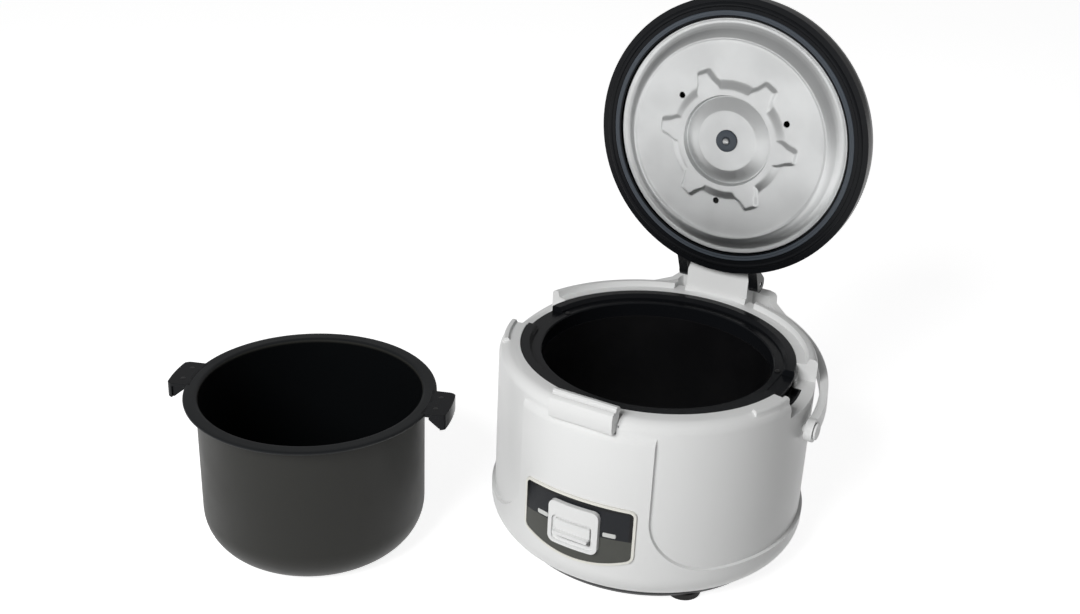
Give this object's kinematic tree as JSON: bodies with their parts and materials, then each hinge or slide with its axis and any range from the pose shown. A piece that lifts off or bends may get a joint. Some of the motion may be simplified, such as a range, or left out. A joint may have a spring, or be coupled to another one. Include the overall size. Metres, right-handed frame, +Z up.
{
  "type": "rice cooker",
  "caption": "Round jar rice cooker with its hinged lid open, fold-back carry handle, front lever panel, and its removable cooking pot standing beside it.",
  "frame": {"origin": "middle of the whole set's footprint, on the plane that the cooker's feet and the pot stand on", "axes": "+X to the right when the cooker's front is faced, +Y towards its back, where the lid hinge is, +Z up"},
  "size_m": [0.5178, 0.455, 0.4669],
  "materials": {
    "white_plastic": "glossy white moulding",
    "black_plastic": "satin black moulding",
    "dark_plastic": "matt charcoal moulding",
    "rubber": "matt black rubber",
    "gasket_rubber": "blue-grey silicone",
    "panel_plastic": "glossy dark navy panel",
    "cream_plastic": "cream moulding",
    "lens_plastic": "milky lens",
    "grey_plastic": "grey moulding",
    "steel": "plain bright steel",
    "dark_steel": "dark painted sheet steel",
    "aluminium": "brushed aluminium",
    "pot_coating": "charcoal coated aluminium pot, black non-stick inside",
    "brass": "bright brass"
  },
  "bodies": {
    "cooker": {"outer_casing": "white_plastic", "top_ring": "black_plastic", "ring_rivets": "steel", "inner_liner": "dark_steel", "keep_warm_band": "grey_plastic", "base_cover": "dark_plastic", "base_feet": "rubber", "base_screws": "steel", "heating_plate": "aluminium", "heater_tube": "steel", "plate_posts": "steel", "thermostat_guide": "steel", "thermostat_spring": "steel", "switch_bracket": "steel", "switch_pin": "steel", "micro_switch": "grey_plastic", "thermal_fuse": "cream_plastic", "terminal_block": "cream_plastic", "power_inlet": "black_plastic", "inlet_pins": "brass", "inlet_screws": "steel", "fascia": "panel_plastic", "fascia_trim": "cream_plastic", "bezel": "white_plastic", "lamp_lenses": "lens_plastic", "lamp_holder": "cream_plastic", "lamps": "lens_plastic", "lever_spring": "steel", "hinge_pin": "steel", "hinge_spring": "steel", "pivot_screws": "white_plastic", "latch_pin": "steel", "latch_spring": "steel"},
    "lid": {"lid_cover": "white_plastic", "lid_frame": "black_plastic", "lid_gasket": "gasket_rubber", "lid_catch": "steel", "lid_shield": "aluminium", "lid_post": "steel", "lid_screws": "steel", "steam_socket": "white_plastic"},
    "lid_plate": {"inner_plate": "aluminium", "plate_grommet": "rubber"},
    "steam_vent": {"steam_cap": "white_plastic"},
    "handle": {"carry_handle": "white_plastic"},
    "latch": {"latch_button": "white_plastic"},
    "lever": {"cook_lever": "white_plastic"},
    "bar": {"switch_bar": "steel"},
    "magnet_unit": {"magnet_carrier": "brass", "magnet": "grey_plastic"},
    "thermostat": {"thermostat_cup": "aluminium"},
    "pot": {"inner_pot": "pot_coating", "pot_ears": "black_plastic", "ear_rivets": "steel"}
  },
  "joints": [
    {"name": "lid_hinge", "type": "hinge", "parent": "cooker", "child": "lid", "pos_m": [0.1085, 0.1903, 0.2022], "axis": [1, 0, 0], "range_deg": [0, 91], "stiffness_Nm_per_rad": 0.55, "springref_deg": -40.11},
    {"name": "handle_swing", "type": "hinge", "parent": "cooker", "child": "handle", "pos_m": [0.1085, 0.053, 0.146], "axis": [1, 0, 0], "range_deg": [0, 11]},
    {"name": "latch_press", "type": "hinge", "parent": "cooker", "child": "latch", "pos_m": [0.1085, -0.08, 0.176], "axis": [1, 0, 0], "range_deg": [0, 7], "stiffness_Nm_per_rad": 0.06, "springref_deg": -20.05},
    {"name": "cook_press", "type": "slide", "parent": "cooker", "child": "lever", "axis": [0, 0, -1], "range_m": [0, 0.005], "stiffness_N_per_m": 160, "springref_m": -0.006, "deforming": ["lever_spring"]},
    {"name": "bar_tilt", "type": "hinge", "parent": "cooker", "child": "bar", "pos_m": [0.1085, -0.00225, 0.0176], "axis": [1, 0, 0], "range_deg": [0, 5.3]},
    {"name": "magnet_rise", "type": "slide", "parent": "cooker", "child": "magnet_unit", "axis": [0, 0, 1], "range_m": [0, 0.0051]},
    {"name": "thermostat_press", "type": "slide", "parent": "cooker", "child": "thermostat", "axis": [0, 0, -1], "range_m": [0, 0.0023], "stiffness_N_per_m": 250, "springref_m": -0.003, "deforming": ["thermostat_spring"]},
    {"name": "plate_pull", "type": "slide", "parent": "lid", "child": "lid_plate", "axis": [0, -0.9998, 0.0175], "range_m": [0, 0.007]},
    {"name": "steam_cap_pull", "type": "slide", "parent": "lid", "child": "steam_vent", "axis": [0, 0.9998, -0.0175], "range_m": [0, 0.025]},
    {"name": "pot_lift", "type": "slide", "parent": "cooker", "child": "pot", "axis": [0, 0, 1], "range_m": [0, 0.15]}
  ],
  "couplings": [
    {"joint": "bar_tilt", "follows": "cook_press", "rad_per_m": 18.099},
    {"joint": "magnet_rise", "follows": "cook_press", "ratio": 1}
  ]
}
